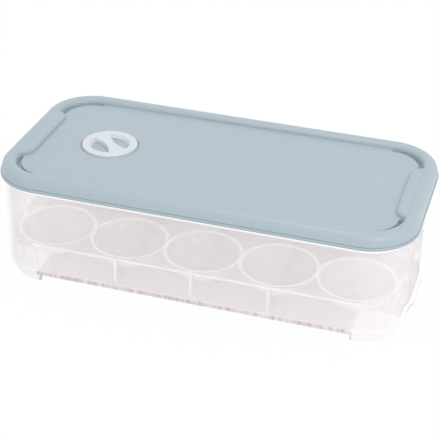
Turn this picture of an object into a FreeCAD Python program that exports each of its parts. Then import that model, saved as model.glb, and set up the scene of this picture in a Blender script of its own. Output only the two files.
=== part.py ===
import FreeCAD, Part
import math
import os

# Egg storage container: a footed box, a lift-out egg tray, a press-on lid and a turning dial.
# Lengths are in millimetres. The long side lies along X, the front faces -Y, the feet stand on Z = 0.

# Egg tray
cup_columns = 5
cup_rows = 2
cup_diameter = 47.0
cup_depth = 17.0
cup_wall = 1.6
cup_edge_radius = 1.0
web_along = 3.0          # flat strip between neighbouring cups of one row
web_across = 20.8        # flat strip between the rows
margin_along = 5.8       # flat strip outside the end cups
margin_across = 3.7      # flat strip outside each row
tray_plate = 1.6
rib_thickness = 1.6
rib_foot = 1.9           # how far the ribs reach below the cups
tray_clearance = 0.5     # between the tray and the box walls

# Box
wall = 2.2
floor = 1.8
corner_radius = 29.5     # outer vertical corners
egg_room = 47.7          # from the tray's top to the mouth of the box
foot_height = 6.2
foot_inset = 3.7         # the feet stand back from the corner posts by this much
foot_wall = 3.0
foot_edge_radius = 0.8
panel_recess = 0.8       # the long walls stand back from the corner posts by this much
end_bow = 2.5            # the end walls stand out by this much at the bottom
end_bow_top = 0.3        # and by this much at the mouth
end_bow_blend = 18.0     # length of the curve at each side of an end wall
end_bow_margin = 2.3     # from that curve to the rounding of the corner
floor_fillet = 2.0       # inside, where the walls meet the floor
bottom_edge_radius = 2.0
mouth_lip = 0.6          # outward lip round the mouth
lip_height = 2.6
lip_chamfer = 1.4

# Lid
skirt_depth = 7.0        # how far the skirt hangs below the mouth
skirt_wall = 1.5
skirt_clearance = 0.4    # between the skirt and the lip
skirt_lean = 11.5        # degrees from upright
bead_step = 0.5          # the bead round the skirt's lower edge stands out by this much
bead_height = 2.1
rim_top_wall = 2.0       # from the mouth to the rim's crest
rim_outer_radius = 4.6
crest_width = 1.6        # flat along the top of the rim
rim_height = 3.2         # from the panel to the crest
panel = 2.0
plug_wall = 1.6          # inner wall that locates the lid in the mouth
plug_clearance = 0.3

# Finger tabs at both ends of the lid
tab_reach = 6.4          # from the rim's inner edge
tab_drop = 0.4           # below the crest
tab_blend = 14.8         # length of the curve at each end of a tab
tab_overrun = 4.8        # past the straight stretch of the end
tab_edge_radius = 2.2
tab_wall = 1.8

# Grooves round the panel's corners
groove_width = 3.0
groove_depth = 3.0
groove_wall = 1.5

# Dial
dial_from_end = 59.0     # from the lid's end to the dial's axis
dial_diameter = 36.4
dial_rise = 1.3          # above the panel
dial_edge_radius = 0.6
well_clearance = 1.0
well_depth = 1.3
well_wall = 1.7
well_floor = 1.6
dial_play = 0.3          # above and below the well's floor
bar_angle = -45.0        # degrees from +X to the grip bar
bar_waist = 5.8          # width of the grip bar at its middle
bar_ends = 12.2          # width of the grip bar where it meets the ring
ring_width = 4.9
scoop_slope = 1.7        # the scoops narrow by this much towards the well's floor
bar_flare = 0.3          # the bar's waist widens by this much on each side towards the well's floor
stem_diameter = 5.0
stem_clearance = 0.1
barb_reach = 0.7
barb_height = 1.8
barb_slot = 1.2

# Tray and box outlines
pitch_along = cup_diameter + web_along
pitch_across = cup_diameter + web_across
tray_length = cup_diameter + (cup_columns - 1) * pitch_along + 2 * margin_along
tray_width = cup_diameter + (cup_rows - 1) * pitch_across + 2 * margin_across
inner_length = tray_length + 2 * tray_clearance
inner_width = tray_width + 2 * tray_clearance
inner_radius = corner_radius - wall
tray_radius = inner_radius - tray_clearance
box_length = inner_length + 2 * wall
box_width = inner_width + 2 * wall
post_x = box_length / 2 - corner_radius
post_y = box_width / 2 - corner_radius

# Heights
floor_top = foot_height + floor
tray_top = floor_top + rib_foot + cup_wall + cup_depth
mouth = tray_top + egg_room
crest = mouth + rim_top_wall
skirt_bottom = mouth - skirt_depth
panel_top = crest - rim_height
panel_bottom = panel_top - panel
well_bottom = panel_top - well_depth
dial_top = panel_top + dial_rise
dial_bottom = well_bottom + dial_play

# Lid outlines, measured inwards from the bead
skirt_inset = bead_step + skirt_wall
overhang = skirt_inset + skirt_clearance + mouth_lip
plug_inset = overhang + wall + plug_clearance
lean = math.radians(skirt_lean)
skirt_top = crest - rim_outer_radius + rim_outer_radius * math.sin(lean)
bead_top = skirt_bottom + bead_height
crest_inset = bead_step + (skirt_top - bead_top) * math.tan(lean) + rim_outer_radius * math.cos(lean)
slope_inset = crest_inset + crest_width
rim_inset = slope_inset + rim_height
lid_length = box_length + 2 * overhang
lid_width = box_width + 2 * overhang
lid_radius = corner_radius + overhang
dial_x = dial_from_end - lid_length / 2

# Cut tools run past the faces that they open
past = 1.0

up = FreeCAD.Vector(0, 0, 1)


def point(x, y, z):
    return FreeCAD.Vector(x, y, z)


def line(a, b):
    return Part.makeLine(a, b)


def arc(a, through, b):
    return Part.Arc(a, through, b).toShape()


def s_curve(a, b):
    # Two equal arcs from a to b; both ends run along Y.
    across = b.x - a.x
    along = b.y - a.y
    radius = (across ** 2 + along ** 2) / (4 * abs(across))
    half_turn = math.asin(abs(along) / 2 / radius) / 2
    step = point(math.copysign(radius * (1 - math.cos(half_turn)), across),
                 math.copysign(radius * math.sin(half_turn), along), 0)
    middle = (a + b) * 0.5
    return [arc(a, a + step, middle), arc(middle, b - step, b)]


def rounded_wire(length, width, radius, z):
    x = length / 2
    y = width / 2
    bend = radius * (1 - math.sqrt(0.5))
    edges = []
    for turn in range(4):
        straight = line(point(x, radius - y, z), point(x, y - radius, z))
        corner = arc(point(x, y - radius, z), point(x - bend, y - bend, z), point(x - radius, y, z))
        for edge in (straight, corner):
            edge.rotate(point(0, 0, 0), up, 90 * turn)
            edges.append(edge)
        x, y = y, x
    return Part.Wire(Part.__sortEdges__(edges))


def slab(length, width, radius, bottom, top):
    face = Part.Face(rounded_wire(length, width, radius, bottom))
    return face.extrude(point(0, 0, top - bottom))


def level_edges(shape, z):
    box = [edge.BoundBox for edge in shape.Edges]
    return [edge for edge, b in zip(shape.Edges, box) if abs(b.ZMin - z) + abs(b.ZMax - z) < 1e-4]


def corner_sweeps(profile):
    # The profile stands in the XZ plane with the corner's own axis at X = 0.
    sweeps = []
    for turn, (sign_x, sign_y) in enumerate(((1, 1), (-1, 1), (-1, -1), (1, -1))):
        corner = profile.revolve(point(0, 0, 0), up, 90)
        corner.rotate(point(0, 0, 0), up, 90 * turn)
        corner.translate(point(sign_x * post_x, sign_y * post_y, 0))
        sweeps.append(corner)
    return sweeps


def side_sweeps(profile):
    sweeps = []
    for turn in range(4):
        half, away = (post_y, post_x) if turn % 2 == 0 else (post_x, post_y)
        side = profile.extrude(point(0, 2 * half, 0))
        side.translate(point(away, -half, 0))
        side.rotate(point(0, 0, 0), up, 90 * turn)
        sweeps.append(side)
    return sweeps


def profile_face(edges):
    return Part.Face(Part.Wire(edges))


def rectangle_face(near, far, bottom, top):
    corners = [point(near, 0, bottom), point(far, 0, bottom), point(far, 0, top), point(near, 0, top)]
    return Part.Face(Part.makePolygon(corners + corners[:1]))


def foot_profile():
    outer = corner_radius - foot_inset
    inner = outer - foot_wall
    r = foot_edge_radius
    b = r * (1 - math.sqrt(0.5))
    top = foot_height + floor
    return profile_face([
        line(point(inner, 0, top), point(inner, 0, r)),
        arc(point(inner, 0, r), point(inner + b, 0, b), point(inner + r, 0, 0)),
        line(point(inner + r, 0, 0), point(outer - r, 0, 0)),
        arc(point(outer - r, 0, 0), point(outer - b, 0, b), point(outer, 0, r)),
        line(point(outer, 0, r), point(outer, 0, top)),
        line(point(outer, 0, top), point(inner, 0, top))])


def panel_recess_cut(half_length, away, top):
    # A shallow field with a sloping upper edge, cut into the wall between two corner posts.
    face_x = away - panel_recess
    low = foot_height - past
    corners = [point(face_x, 0, low), point(away + past, 0, low), point(away + past, 0, top + past),
               point(face_x, 0, top - panel_recess)]
    field = Part.Face(Part.makePolygon(corners + corners[:1])).extrude(point(0, 2 * half_length, 0))
    field.translate(point(0, -half_length, 0))
    return field


def bowed_wire(inset, z):
    # Outline of the box, drawn in by the inset; its end walls stand out more towards the bottom.
    bow = end_bow_top + (end_bow - end_bow_top) * (mouth - z) / (mouth - foot_height)
    radius = corner_radius - inset
    bend = radius * math.sqrt(0.5)
    x = post_x + radius
    y = post_y + radius
    far = post_y - end_bow_margin
    near = far - end_bow_blend
    half = [line(point(x, -post_y, z), point(x, -far, z))]
    half += s_curve(point(x, -far, z), point(x + bow, -near, z))
    half += [line(point(x + bow, -near, z), point(x + bow, near, z))]
    half += s_curve(point(x + bow, near, z), point(x, far, z))
    half += [line(point(x, far, z), point(x, post_y, z)),
             arc(point(x, post_y, z), point(post_x + bend, post_y + bend, z), point(post_x, y, z)),
             line(point(post_x, y, z), point(-post_x, y, z)),
             arc(point(-post_x, y, z), point(-post_x - bend, post_y + bend, z), point(-x, post_y, z))]
    other_half = [edge.copy() for edge in half]
    for edge in other_half:
        edge.rotate(point(0, 0, 0), up, 180)
    return Part.Wire(half + other_half)


def bowed_slab(inset, bottom, top, edge_radius):
    body = Part.makeLoft([bowed_wire(inset, bottom), bowed_wire(inset, top)], True, True)
    return body.makeFillet(edge_radius, level_edges(body, bottom))


def make_box():
    shell = bowed_slab(0, foot_height, mouth, bottom_edge_radius)
    field = panel_recess_cut(post_x, box_width / 2, tray_top)
    fields = [field.copy(), field.copy()]
    for turn, side in zip((1, 3), fields):
        side.rotate(point(0, 0, 0), up, 90 * turn)
    lip = slab(box_length + 2 * mouth_lip, box_width + 2 * mouth_lip, corner_radius + mouth_lip,
               mouth - lip_height, mouth)
    feet = corner_sweeps(foot_profile())
    body = shell.cut(fields).fuse([lip] + feet).removeSplitter()
    body = body.makeChamfer(lip_chamfer, level_edges(body, mouth))
    cavity = bowed_slab(wall, floor_top, mouth + past, floor_fillet)
    return body.cut(cavity).removeSplitter()


def cup_centres():
    places = []
    for row in range(cup_rows):
        for column in range(cup_columns):
            x = (column - (cup_columns - 1) / 2) * pitch_along
            y = (row - (cup_rows - 1) / 2) * pitch_across
            places.append((x, y))
    return places


def rib_solid(x):
    # A cross rib stands on the floor; its lower ends are cut clear of the fillet inside the box.
    y = tray_width / 2
    top = tray_top - tray_plate / 2
    cut = floor_fillet
    corners = [point(x, -y, top), point(x, -y, floor_top + cut), point(x, cut - y, floor_top),
               point(x, y - cut, floor_top), point(x, y, floor_top + cut), point(x, y, top)]
    face = Part.Face(Part.makePolygon(corners + corners[:1]))
    face.translate(point(-rib_thickness / 2, 0, 0))
    return face.extrude(point(rib_thickness, 0, 0))


def make_tray():
    plate = slab(tray_length, tray_width, tray_radius, tray_top - tray_plate, tray_top)
    bowl_radius = ((cup_diameter / 2) ** 2 + cup_depth ** 2) / (2 * cup_depth)
    rise = bowl_radius - cup_depth
    below = Part.makeBox(2 * tray_length, 2 * tray_width, tray_top,
                         point(-tray_length, -tray_width, 0))
    bowls = []
    hollows = []
    for x, y in cup_centres():
        centre = point(x, y, tray_top + rise)
        bowls.append(Part.makeSphere(bowl_radius + cup_wall, centre).common(below))
        hollows.append(Part.makeSphere(bowl_radius, centre))
    inner_columns = range(1, cup_columns - 1)
    ribs = [rib_solid((column - (cup_columns - 1) / 2) * pitch_along) for column in inner_columns]
    tray = plate.fuse(bowls + ribs).cut(hollows).common(
        slab(tray_length, tray_width, tray_radius, 0, tray_top)).removeSplitter()
    rims = [edge for edge in level_edges(tray, tray_top) if isinstance(edge.Curve, Part.Circle)
            and abs(edge.Curve.Radius - cup_diameter / 2) < 1e-4]
    return tray.makeFillet(min(cup_edge_radius, 0.4 * web_along), rims)


def rim_profile():
    # Section of the rim, closed underneath, with insets turned into radii about the corner's axis.
    def at(inset, z):
        return point(lid_radius - inset, 0, z)

    outer_axis = crest - rim_outer_radius
    middle = math.radians(90 + skirt_lean) / 2
    outer_mid = at(crest_inset - rim_outer_radius * math.cos(middle),
                   outer_axis + rim_outer_radius * math.sin(middle))
    skirt_end = at(crest_inset - rim_outer_radius * math.cos(lean), skirt_top)
    slope_mid = at(slope_inset + rim_height * math.sqrt(0.5), panel_top + rim_height * math.sqrt(0.5))
    return profile_face([
        line(at(0, skirt_bottom), at(0, bead_top - bead_step)),
        line(at(0, bead_top - bead_step), at(bead_step, bead_top)),
        line(at(bead_step, bead_top), skirt_end),
        arc(skirt_end, outer_mid, at(crest_inset, crest)),
        line(at(crest_inset, crest), at(slope_inset, crest)),
        arc(at(slope_inset, crest), slope_mid, at(rim_inset, panel_top)),
        line(at(rim_inset, panel_top), at(rim_inset, skirt_bottom)),
        line(at(rim_inset, skirt_bottom), at(0, skirt_bottom))])


def inset_slab(inset, bottom, top):
    return slab(lid_length - 2 * inset, lid_width - 2 * inset, lid_radius - inset, bottom, top)


def tab_solid(shrink, bottom, top):
    # Plan of the tab at the +X end: a straight inner edge joined to the rim by an S-curve at each end.
    root = lid_length / 2 - slope_inset - shrink
    front = lid_length / 2 - rim_inset - tab_reach + shrink
    far = post_y + tab_overrun - shrink
    near = far - tab_blend
    edges = [line(point(front, -near, bottom), point(front, near, bottom))]
    edges += s_curve(point(front, near, bottom), point(root, far, bottom))
    edges += [line(point(root, far, bottom), point(root, -far, bottom))]
    edges += s_curve(point(root, -far, bottom), point(front, -near, bottom))
    return Part.Face(Part.Wire(edges)).extrude(point(0, 0, top - bottom)), root


def make_tabs():
    tab, root = tab_solid(0, panel_bottom, crest - tab_drop)
    top_edges = [edge for edge in level_edges(tab, crest - tab_drop) if edge.BoundBox.XMin < root - 1e-4]
    tab = tab.makeFillet(tab_edge_radius, top_edges)
    pocket = tab_solid(tab_wall, skirt_bottom - past, crest - tab_drop - tab_wall)[0]
    other_tab = tab.copy()
    other_pocket = pocket.copy()
    for shape in (other_tab, other_pocket):
        shape.rotate(point(0, 0, 0), up, 180)
    return [tab, other_tab], [pocket, other_pocket]


def groove_sweeps(grow, bottom, top):
    outer = lid_radius - rim_inset + grow
    inner = outer - groove_width - 2 * grow
    sweeps = corner_sweeps(rectangle_face(inner, outer, bottom, top))
    middle = (outer + inner) / 2
    for sign_x in (-1, 1):
        for sign_y in (-1, 1):
            for x, y in ((middle, 0), (0, middle)):
                place = point(sign_x * (post_x + x), sign_y * (post_y + y), bottom)
                sweeps.append(Part.makeCylinder((outer - inner) / 2, top - bottom, place))
    return sweeps


def make_lid():
    lid = inset_slab(rim_inset, skirt_bottom, panel_top)
    rim = rim_profile()
    tabs, pockets = make_tabs()
    lid = lid.fuse(corner_sweeps(rim) + side_sweeps(rim) + tabs)
    channel = inset_slab(skirt_inset, skirt_bottom - past, mouth)
    channel = channel.makeChamfer(lip_chamfer, level_edges(channel, mouth))
    channel = channel.cut(inset_slab(plug_inset, skirt_bottom - past, mouth))
    hollow = inset_slab(plug_inset + plug_wall, skirt_bottom - past, panel_bottom)
    lid = lid.cut([channel, hollow] + pockets)
    well_radius = dial_diameter / 2 + well_clearance
    well_low = well_bottom - well_floor
    boss = Part.makeCylinder(well_radius + well_wall, panel_top - well_low, point(dial_x, 0, well_low))
    well = Part.makeCylinder(well_radius, well_depth + past, point(dial_x, 0, well_bottom))
    bore = Part.makeCylinder(stem_diameter / 2 + stem_clearance, 2 * panel + well_floor,
                             point(dial_x, 0, well_low - panel))
    groove_low = panel_top - groove_depth
    gutters = groove_sweeps(groove_wall, groove_low - groove_wall, panel_bottom)
    lid = lid.fuse([boss] + gutters)
    lid = lid.cut([well, bore] + groove_sweeps(0, groove_low, panel_top + past))
    return lid.removeSplitter()


def scoop_wire(radius, waist, z):
    # A leaf between the ring and the grip bar: an arc about the dial's axis and the bar's curved edge.
    end = bar_ends / 2
    half = math.sqrt(radius ** 2 - end ** 2)
    a = point(half, end, z)
    b = point(-half, end, z)
    return Part.Wire([arc(a, point(0, radius, z), b), arc(b, point(0, waist, z), a)])


def make_dial():
    radius = dial_diameter / 2
    disc = Part.makeCylinder(radius, dial_top - dial_bottom, point(0, 0, dial_bottom))
    disc = disc.makeFillet(dial_edge_radius, level_edges(disc, dial_top))
    stem_low = well_bottom - well_floor - dial_play - barb_height
    stem_radius = stem_diameter / 2
    stem = Part.makeCylinder(stem_radius, dial_bottom - stem_low, point(0, 0, stem_low))
    barb = Part.makeCone(stem_radius, stem_radius + barb_reach, barb_height, point(0, 0, stem_low))
    slot = Part.makeBox(4 * stem_diameter, barb_slot, well_bottom - stem_low + past,
                        point(-2 * stem_diameter, -barb_slot / 2, stem_low - past))
    top_radius = radius - ring_width
    waist = bar_waist / 2
    cuts = [slot]
    for turn in range(2):
        wires = [scoop_wire(top_radius, waist, dial_top),
                 scoop_wire(top_radius - scoop_slope, waist + bar_flare, dial_bottom)]
        scoop = Part.makeLoft(wires, True, True)
        scoop.rotate(point(0, 0, 0), up, 180 * turn)
        cuts.append(scoop)
    dial = disc.fuse([stem, barb]).cut(cuts).removeSplitter()
    dial.rotate(point(0, 0, 0), up, bar_angle)
    dial.translate(point(dial_x, 0, 0))
    return dial


parts = {"base_box": make_box(), "egg_tray": make_tray(), "lid": make_lid(), "time_dial": make_dial()}
os.makedirs("parts", exist_ok=True)
for name, shape in parts.items():
    box = shape.BoundBox
    print(name, shape.isValid(), len(shape.Solids), round(shape.Volume), [round(v, 2) for v in (
        box.XMin, box.XMax, box.YMin, box.YMax, box.ZMin, box.ZMax)])
    shape.exportStep("parts/" + name + ".step")
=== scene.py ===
import math

import bmesh
import bpy
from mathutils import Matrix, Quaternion, Vector


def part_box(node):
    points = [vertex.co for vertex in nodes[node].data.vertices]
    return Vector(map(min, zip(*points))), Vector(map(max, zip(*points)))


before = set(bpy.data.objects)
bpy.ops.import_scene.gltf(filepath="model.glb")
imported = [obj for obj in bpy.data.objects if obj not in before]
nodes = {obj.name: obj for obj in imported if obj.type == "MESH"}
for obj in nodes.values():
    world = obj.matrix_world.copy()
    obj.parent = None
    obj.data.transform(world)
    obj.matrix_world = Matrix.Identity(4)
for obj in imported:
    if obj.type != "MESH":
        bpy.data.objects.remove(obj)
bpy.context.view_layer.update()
mm = 0.001
print("frame:", ", ".join(sorted(nodes)))


def hexColor(code):
    # sRGB hex to the linear colour that a shader takes
    channels = [int(code[i:i + 2], 16) / 255 for i in (1, 3, 5)]
    return [c / 12.92 if c <= 0.04045 else ((c + 0.055) / 1.055) ** 2.4 for c in channels] + [1.0]


def addNode(tree, kind, settings=None, links=None):
    # settings are input values or node attributes, links are the sockets that feed its inputs.
    # A Mix node's inputs go by number: 0 is the factor, 2 and 3 are plain values, 6 and 7 colours.
    node = tree.nodes.new(kind)
    for key, value in (settings or {}).items():
        if isinstance(key, int) or key in node.inputs:
            node.inputs[key].default_value = value
        else:
            setattr(node, key, value)
    for key, socket in (links or {}).items():
        tree.links.new(socket, node.inputs[key])
    return node


def newMaterial(name):
    material = bpy.data.materials.new(name)
    material.use_nodes = True
    material.node_tree.nodes.clear()
    return material, material.node_tree


def dress(nodeName, material):
    mesh = nodes[nodeName].data
    mesh.materials.clear()
    mesh.materials.append(material)


def seenRay(tree):
    # 1 for rays that show the surroundings, 0 for those that only carry light
    rays = addNode(tree, "ShaderNodeLightPath").outputs
    direct = addNode(tree, "ShaderNodeMath", {"operation": "MAXIMUM"},
                     {0: rays["Is Camera Ray"], 1: rays["Is Glossy Ray"]})
    return addNode(tree, "ShaderNodeMath", {"operation": "MAXIMUM"},
                   {0: direct.outputs[0], 1: rays["Is Transmission Ray"]}).outputs[0]


def lineMask(tree, value, middle, width, fade):
    # 1 on a line of that width round the middle value, fading to 0 beside it
    off = addNode(tree, "ShaderNodeMath", {"operation": "SUBTRACT", 1: middle}, {0: value})
    off = addNode(tree, "ShaderNodeMath", {"operation": "ABSOLUTE"}, {0: off.outputs[0]})
    return addNode(tree, "ShaderNodeMapRange",
                   {"From Min": width / 2, "From Max": width / 2 + fade, "To Min": 1.0, "To Max": 0.0},
                   {"Value": off.outputs[0]}).outputs[0]


# All pieces are moulded polypropylene: slow clouds in the gloss and a fine grain from the mould,
# which is drawn coarser than the real one so that it shows.
mould = {
    "ior": 1.49,
    "cloudDetail": 3.0,
    "grainDetail": 2.0,
    "grainStrength": 0.3,
}


def mouldedSkin(tree, look, place):
    cloud = addNode(tree, "ShaderNodeTexNoise",
                    {"Scale": 1 / look["cloudSize"], "Detail": mould["cloudDetail"]}, {"Vector": place})
    grain = addNode(tree, "ShaderNodeTexNoise",
                    {"Scale": 1 / look["grainSize"], "Detail": mould["grainDetail"]}, {"Vector": place})
    rough = addNode(tree, "ShaderNodeMapRange",
                    {"To Min": look["roughness"][0], "To Max": look["roughness"][1]},
                    {"Value": cloud.outputs["Fac"]})
    bump = addNode(tree, "ShaderNodeBump",
                   {"Strength": mould["grainStrength"], "Distance": look["grainDepth"]},
                   {"Height": grain.outputs["Fac"]})
    return rough.outputs[0], bump.outputs[0], cloud.outputs["Fac"]


def milkAndPane(tree, look, masks):
    # the plain wall takes each part's own milk and pane where that part's mask is 1
    (part, mask), *others = masks
    color = addNode(tree, "ShaderNodeMix",
                    {"data_type": "RGBA", 6: hexColor(look["milk"]), 7: hexColor(look[part + "Milk"])},
                    {0: mask}).outputs[2]
    pane = addNode(tree, "ShaderNodeMapRange", {"To Min": look["pane"], "To Max": look[part + "Pane"]},
                   {"Value": mask}).outputs[0]
    for part, mask in others:
        color = addNode(tree, "ShaderNodeMix", {"data_type": "RGBA", 7: hexColor(look[part + "Milk"])},
                        {0: mask, 6: color}).outputs[2]
        pane = addNode(tree, "ShaderNodeMix", {3: look[part + "Pane"]}, {0: mask, 2: pane}).outputs[0]
    return color, pane


def milkyShell(tree, look, place, masks):
    # one pass of light through a moulded wall: gloss and milk outside, the rest goes on inside.
    # A ray that leaves the plastic again passes freely, so a wall counts once.
    color, pane = milkAndPane(tree, look, masks)
    rough, grain, _ = mouldedSkin(tree, look, place)
    skin = addNode(tree, "ShaderNodeBsdfPrincipled", {"IOR": mould["ior"]},
                   {"Base Color": color, "Roughness": rough, "Normal": grain})
    glow = addNode(tree, "ShaderNodeBsdfTranslucent", None, {"Color": color})
    milk = addNode(tree, "ShaderNodeMixShader", {"Fac": look["glow"]},
                   {1: skin.outputs[0], 2: glow.outputs[0]})
    clear = addNode(tree, "ShaderNodeBsdfTransparent")
    passing = addNode(tree, "ShaderNodeMix", {2: look["lightPane"]}, {0: seenRay(tree), 3: pane})
    wall = addNode(tree, "ShaderNodeMixShader", None,
                   {0: passing.outputs[0], 1: milk.outputs[0], 2: clear.outputs[0]})
    side = addNode(tree, "ShaderNodeNewGeometry")
    once = addNode(tree, "ShaderNodeMixShader", None,
                   {0: side.outputs["Backfacing"], 1: wall.outputs[0], 2: clear.outputs[0]})
    addNode(tree, "ShaderNodeOutputMaterial", None, {"Surface": once.outputs[0]})


# Natural polypropylene moulded thin: milky, lets light and shapes through with a haze, whiter where
# the wall is thick at the corner posts, with painted shade where the floor meets the wall and a painted
# highlight round the top.
boxLook = {
    "milk": "#FFF9F9",
    "pane": 0.47,                 # share of light that passes a wall unscattered
    "lightPane": 0.95,            # haze scatters sight more than it stops light
    "glow": 0.02,                 # share of the milk that lights the far side
    "roughness": (0.26, 0.36),
    "cloudSize": 60 * mm,
    "grainSize": 0.7 * mm,
    "grainDepth": 0.02 * mm,
    "postMilk": "#F2EEEF",
    "postPane": 0.28,
    "postPlace": (102.5 * mm, 34.3 * mm),
    "postFade": 11 * mm,
    "postUpper": 0.75,            # how much of that thickness is left above the tray
    "stepFade": 2 * mm,
    # painted shade at the foot of the walls: a dull, nearly opaque band where the floor meets the wall
    "edgeMilk": "#C4B6B6",
    "edgePane": 0.05,
    "edgeTop": 9.9 * mm,
    "edgeFade": 0.5 * mm,
    "edgeStop": (0.5, 0.6),       # how far into a post the painted shade at the foot runs, and where it is gone
    "streakWidth": 1.6 * mm,        # the painted shade is broken into fine streaks along the foot
    "streakDetail": 2.0,
    "streakRange": (0.3, 0.6),
    "streakLeast": 0.45,            # what is left of the edge between two lines
    # painted highlight: a fine line round the top of the wall is painted white and nearly opaque
    "lipMilk": "#FFFFFF",
    "lipPane": 0.03,
    "lipDrop": 2.4 * mm,          # a painted highlight, a fine bright line round the wall, this far below the closed lid
    "lipWidth": 1.2 * mm,
    "lipFade": 0.4 * mm,
}


def frostedPolypropylene(name, look):
    material, tree = newMaterial(name)
    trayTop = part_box("egg_tray")[1].z
    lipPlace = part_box("lid")[0].z - look["lipDrop"]
    place = addNode(tree, "ShaderNodeTexCoord").outputs["Object"]
    axes = addNode(tree, "ShaderNodeSeparateXYZ", None, {0: place}).outputs
    # corner posts: past the straight stretches in both directions
    reach = []
    for axis, start in zip("XY", look["postPlace"]):
        size = addNode(tree, "ShaderNodeMath", {"operation": "ABSOLUTE"}, {0: axes[axis]})
        reach.append(addNode(tree, "ShaderNodeMapRange",
                             {"From Min": start - look["postFade"], "From Max": start + look["postFade"]},
                             {"Value": size.outputs[0]}))
    post = addNode(tree, "ShaderNodeMath", {"operation": "MINIMUM"},
                   {0: reach[0].outputs[0], 1: reach[1].outputs[0]})
    below = addNode(tree, "ShaderNodeMapRange",
                    {"From Min": trayTop - look["stepFade"], "From Max": trayTop + look["stepFade"],
                     "To Min": 1.0, "To Max": look["postUpper"]},
                    {"Value": axes["Z"]})
    thick = addNode(tree, "ShaderNodeMath", {"operation": "MULTIPLY"},
                    {0: post.outputs[0], 1: below.outputs[0]})
    # the floor's edge behind the foot of the walls between the posts, darkened there as painted shade
    edge = addNode(tree, "ShaderNodeMapRange",
                   {"From Min": look["edgeTop"] - look["edgeFade"], "From Max": look["edgeTop"],
                    "To Min": 1.0, "To Max": 0.0},
                   {"Value": axes["Z"]})
    along = addNode(tree, "ShaderNodeCombineXYZ", None, {0: axes["X"], 1: axes["Y"]})
    streakNoise = addNode(tree, "ShaderNodeTexNoise",
                   {"Scale": 1 / look["streakWidth"], "Detail": look["streakDetail"]},
                   {"Vector": along.outputs[0]})
    streak = addNode(tree, "ShaderNodeMapRange",
                     {"From Min": look["streakRange"][0], "From Max": look["streakRange"][1],
                      "To Min": look["streakLeast"]},
                     {"Value": streakNoise.outputs["Fac"]})
    between = addNode(tree, "ShaderNodeMapRange",
                      {"From Min": look["edgeStop"][0], "From Max": look["edgeStop"][1],
                       "To Min": 1.0, "To Max": 0.0},
                      {"Value": post.outputs[0]})
    for share in (streak, between):
        edge = addNode(tree, "ShaderNodeMath", {"operation": "MULTIPLY"},
                       {0: edge.outputs[0], 1: share.outputs[0]})
    # painted highlight round the top of the wall, just below the closed lid
    lip = lineMask(tree, axes["Z"], lipPlace, look["lipWidth"], look["lipFade"])
    milkyShell(tree, look, place, (("post", thick.outputs[0]), ("edge", edge.outputs[0]), ("lip", lip)))
    return material


dress("base_box", frostedPolypropylene("frostedPolypropylene", boxLook))
print("box dressed")

# The same plastic in the tray, glossier; painted darker as shade in the cups, with painted highlights on
# edges and rims.
trayLook = {
    # painted shade: the tray's milk is greyer than the box's, so the cups read darker and the painted rims
    # stand out
    "milk": "#D8D0D0",
    "pane": 0.4,
    "lightPane": 0.8,
    "glow": 0.15,
    "roughness": (0.10, 0.15),
    "cloudSize": 45 * mm,
    "grainSize": 0.8 * mm,
    "grainDepth": 0.015 * mm,
    # painted light under the plate: the underside is whiter and less clear than the cups
    "underMilk": "#F6F1F1",
    "underPane": 0.1,
    # painted highlight: outer edges and cup rims are painted white and nearly opaque
    "edgeMilk": "#FFFFFF",
    "edgePane": 0.02,
    "edgeShare": 0.6,             # how much of the painted highlight an outer edge gets, where a ring has all of it
    "plate": 1.7 * mm,
    "plateEdge": 0.3 * mm,
    "ribEnd": 1.5 * mm,
    "cupPitch": 50 * mm,          # from cup to cup along a row
    "rowPlace": 33.9 * mm,        # from the middle of the tray to each row
    "ringRadius": 24.6 * mm,      # painted highlight ring round a cup
    "ringWidth": 1.8 * mm,
    "ringFade": 0.4 * mm,
}


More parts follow.
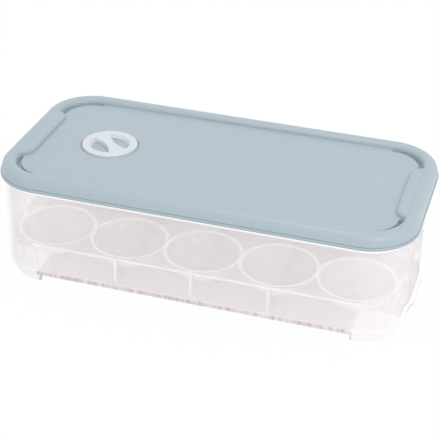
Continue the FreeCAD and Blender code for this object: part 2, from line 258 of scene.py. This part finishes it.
def trayPolypropylene(name, look):
    material, tree = newMaterial(name)
    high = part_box("egg_tray")[1]
    place = addNode(tree, "ShaderNodeTexCoord").outputs["Object"]
    axes = addNode(tree, "ShaderNodeSeparateXYZ", None, {0: place}).outputs
    plate = addNode(tree, "ShaderNodeMath", {"operation": "GREATER_THAN", 1: high.z - look["plate"]},
                    {0: axes["Z"]})
    # painted highlight on the plate's outer edge and the ribs' ends
    reach = addNode(tree, "ShaderNodeMapRange", {"To Min": look["ribEnd"], "To Max": look["plateEdge"]},
                    {"Value": plate.outputs[0]})
    across = addNode(tree, "ShaderNodeMath", {"operation": "ABSOLUTE"}, {0: axes["Y"]})
    inside = addNode(tree, "ShaderNodeMath", {"operation": "SUBTRACT", 0: high.y}, {1: across.outputs[0]})
    edge = addNode(tree, "ShaderNodeMath", {"operation": "LESS_THAN"},
                   {0: inside.outputs[0], 1: reach.outputs[0]})
    edge = addNode(tree, "ShaderNodeMath", {"operation": "MULTIPLY", 1: look["edgeShare"]},
                   {0: edge.outputs[0]})
    # a painted highlight ring round each cup, by the distance from the nearest cup's axis
    half = look["cupPitch"] / 2
    column = addNode(tree, "ShaderNodeMath", {"operation": "WRAP", 1: half, 2: -half}, {0: axes["X"]})
    row = addNode(tree, "ShaderNodeMath", {"operation": "SUBTRACT", 1: look["rowPlace"]},
                  {0: across.outputs[0]})
    fromCup = addNode(tree, "ShaderNodeCombineXYZ", None, {0: column.outputs[0], 1: row.outputs[0]})
    radius = addNode(tree, "ShaderNodeVectorMath", {"operation": "LENGTH"}, {0: fromCup.outputs[0]})
    ring = lineMask(tree, radius.outputs["Value"], look["ringRadius"], look["ringWidth"], look["ringFade"])
    ring = addNode(tree, "ShaderNodeMath", {"operation": "MULTIPLY"}, {0: ring, 1: plate.outputs[0]})
    edge = addNode(tree, "ShaderNodeMath", {"operation": "MAXIMUM"},
                   {0: edge.outputs[0], 1: ring.outputs[0]})
    # painted light under the plate: the underside is painted whiter and less clear than the cups above it
    shape = addNode(tree, "ShaderNodeNewGeometry")
    facing = addNode(tree, "ShaderNodeSeparateXYZ", None, {0: shape.outputs["True Normal"]})
    under = addNode(tree, "ShaderNodeMath", {"operation": "LESS_THAN", 1: 0.0}, {0: facing.outputs["Z"]})
    milkyShell(tree, look, place, (("under", under.outputs[0]), ("edge", edge.outputs[0])))
    return material


dress("egg_tray", trayPolypropylene("trayPolypropylene", trayLook))
print("tray dressed")

# Coloured polypropylene with a fine satin texture: soft broad highlights, even colour.
lidLook = {
    "color": "#A7B5BD",
    "colorDeep": "#A3B2BB",
    "lightPane": 0.6,             # a pale thin moulding lets some light into the box
    "roughness": (0.27, 0.33),
    "cloudSize": 70 * mm,
    "grainSize": 0.6 * mm,
    "grainDepth": 0.015 * mm,
    "shade": "#7E8F9B",           # where the bead's lower edge turns under and in the crease above it
    "shadeLines": ((0.05 * mm, 0.5 * mm), (1.9 * mm, 0.2 * mm)),  # height above the lid's foot, width
    "shadeFade": 0.2 * mm,
}


def satinPolypropylene(name, look):
    material, tree = newMaterial(name)
    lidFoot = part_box("lid")[0].z
    place = addNode(tree, "ShaderNodeTexCoord").outputs["Object"]
    height = addNode(tree, "ShaderNodeSeparateXYZ", None, {0: place}).outputs["Z"]
    rough, grain, cloud = mouldedSkin(tree, look, place)
    color = addNode(tree, "ShaderNodeMix",
                    {"data_type": "RGBA", 6: hexColor(look["color"]), 7: hexColor(look["colorDeep"])},
                    {0: cloud}).outputs[2]
    for above, width in look["shadeLines"]:
        line = lineMask(tree, height, lidFoot + above, width, look["shadeFade"])
        color = addNode(tree, "ShaderNodeMix", {"data_type": "RGBA", 7: hexColor(look["shade"])},
                        {0: line, 6: color}).outputs[2]
    plastic = addNode(tree, "ShaderNodeBsdfPrincipled", {"IOR": mould["ior"]},
                      {"Base Color": color, "Roughness": rough, "Normal": grain})
    # opaque to the eye, while some light goes on through
    clear = addNode(tree, "ShaderNodeBsdfTransparent")
    passing = addNode(tree, "ShaderNodeMix", {2: look["lightPane"], 3: 0.0}, {0: seenRay(tree)})
    wall = addNode(tree, "ShaderNodeMixShader", None,
                   {0: passing.outputs[0], 1: plastic.outputs[0], 2: clear.outputs[0]})
    addNode(tree, "ShaderNodeOutputMaterial", None, {"Surface": wall.outputs[0]})
    return material


dress("lid", satinPolypropylene("satinPolypropylene", lidLook))
print("lid dressed")

# White polypropylene, a little more matt than the lid
dialLook = dict(lidLook, color="#D3D7E0", colorDeep="#CED3DC", shadeLines=(), roughness=(0.34, 0.4))
dress("time_dial", satinPolypropylene("whitePolypropylene", dialLook))
print("dial dressed, materials:", len(bpy.data.materials))

# Studio: a white paper floor in an even white room that is brighter above. A broad lamp stands in
# front on the right, a smaller one further round glints in the cups, and one overhead lights the rim.
studio = {
    "white": "#FFFFFF",           # what the room, and most of the paper, shows the eye
    "paper": "#FAFAFA",
    "paperLift": 0.95,            # how far the paper is shown as plain white
    "floorSize": 6.0,
    "room": 0.88,                 # light from all round
    "roomTop": 0.10,              # more of it from above
    "lampDistance": 1.2,
    "lamps": {
        "broad": {"power": 2.2, "size": 0.35, "side": (0.60, -0.62, 0.50)},
        "glint": {"power": 0.8, "size": 0.12, "side": (0.70, -0.22, 0.66)},
        "top": {"power": 1.2, "size": 0.2, "side": (-0.10, -0.10, 0.98)},
    },
    "aim": (0, 0, 40 * mm),
}


def paperFloor():
    material, tree = newMaterial("studioPaper")
    paper = addNode(tree, "ShaderNodeBsdfDiffuse", {"Color": hexColor(studio["paper"])})
    white = addNode(tree, "ShaderNodeEmission", {"Color": hexColor(studio["white"])})
    lift = addNode(tree, "ShaderNodeMapRange", {"To Max": studio["paperLift"]}, {"Value": seenRay(tree)})
    shown = addNode(tree, "ShaderNodeMixShader", None,
                    {0: lift.outputs[0], 1: paper.outputs[0], 2: white.outputs[0]})
    addNode(tree, "ShaderNodeOutputMaterial", None, {"Surface": shown.outputs[0]})
    mesh = bpy.data.meshes.new("studioFloor")
    sheet = bmesh.new()
    bmesh.ops.create_grid(sheet, x_segments=1, y_segments=1, size=studio["floorSize"] / 2)
    sheet.to_mesh(mesh)
    sheet.free()
    mesh.materials.append(material)
    floor = bpy.data.objects.new("studioFloor", mesh)
    bpy.context.scene.collection.objects.link(floor)


def whiteRoom():
    world = bpy.data.worlds.new("whiteRoom")
    world.use_nodes = True
    tree = world.node_tree
    tree.nodes.clear()
    away = addNode(tree, "ShaderNodeTexCoord").outputs["Generated"]
    axes = addNode(tree, "ShaderNodeSeparateXYZ", None, {0: away})
    light = addNode(tree, "ShaderNodeMapRange",
                    {"To Min": studio["room"], "To Max": studio["room"] + studio["roomTop"]},
                    {"Value": axes.outputs["Z"]})
    # full white where the room itself is seen
    level = addNode(tree, "ShaderNodeMix", {3: 1.0}, {0: seenRay(tree), 2: light.outputs[0]})
    room = addNode(tree, "ShaderNodeBackground", {"Color": hexColor(studio["white"])},
                   {"Strength": level.outputs[0]})
    addNode(tree, "ShaderNodeOutputWorld", None, {"Surface": room.outputs[0]})
    bpy.context.scene.world = world


def softLamp(name, look):
    lamp = bpy.data.lights.new(name + "Lamp", "AREA")
    lamp.energy = look["power"]
    lamp.size = look["size"]
    stand = bpy.data.objects.new(name + "Lamp", lamp)
    bpy.context.scene.collection.objects.link(stand)
    away = Vector(look["side"]).normalized()
    stand.location = Vector(studio["aim"]) + away * studio["lampDistance"]
    stand.rotation_mode = "QUATERNION"
    stand.rotation_quaternion = (-away).to_track_quat("-Z", "Y")


paperFloor()
whiteRoom()
for lampName, lampLook in studio["lamps"].items():
    softLamp(lampName, lampLook)
print("studio ready")

# Camera at the photograph's angle, worked out from the lid's and the box's outlines
shot = {
    "azimuth": 16.23,
    "elevation": 30.33,
    "roll": 1.58,
    "distance": 851.0 * mm,
    "lens": 105.88,
    "sensor": 36.0,
    "target": Vector((0.51, 0, 32.69)) * mm,
}


def photoCamera():
    turn = math.radians(shot["azimuth"])
    tilt = math.radians(shot["elevation"])
    back = Vector((math.sin(turn) * math.cos(tilt), -math.cos(turn) * math.cos(tilt), math.sin(tilt)))
    data = bpy.data.cameras.new("photoCamera")
    data.lens = shot["lens"]
    data.sensor_width = shot["sensor"]
    camera = bpy.data.objects.new("photoCamera", data)
    bpy.context.scene.collection.objects.link(camera)
    camera.location = shot["target"] + back * shot["distance"]
    camera.rotation_mode = "QUATERNION"
    level = (-back).to_track_quat("-Z", "Y")
    camera.rotation_quaternion = level @ Quaternion((0, 0, 1), math.radians(shot["roll"]))
    bpy.context.scene.camera = camera


photoCamera()
bpy.context.scene.view_settings.view_transform = "Standard"
print("camera ready")
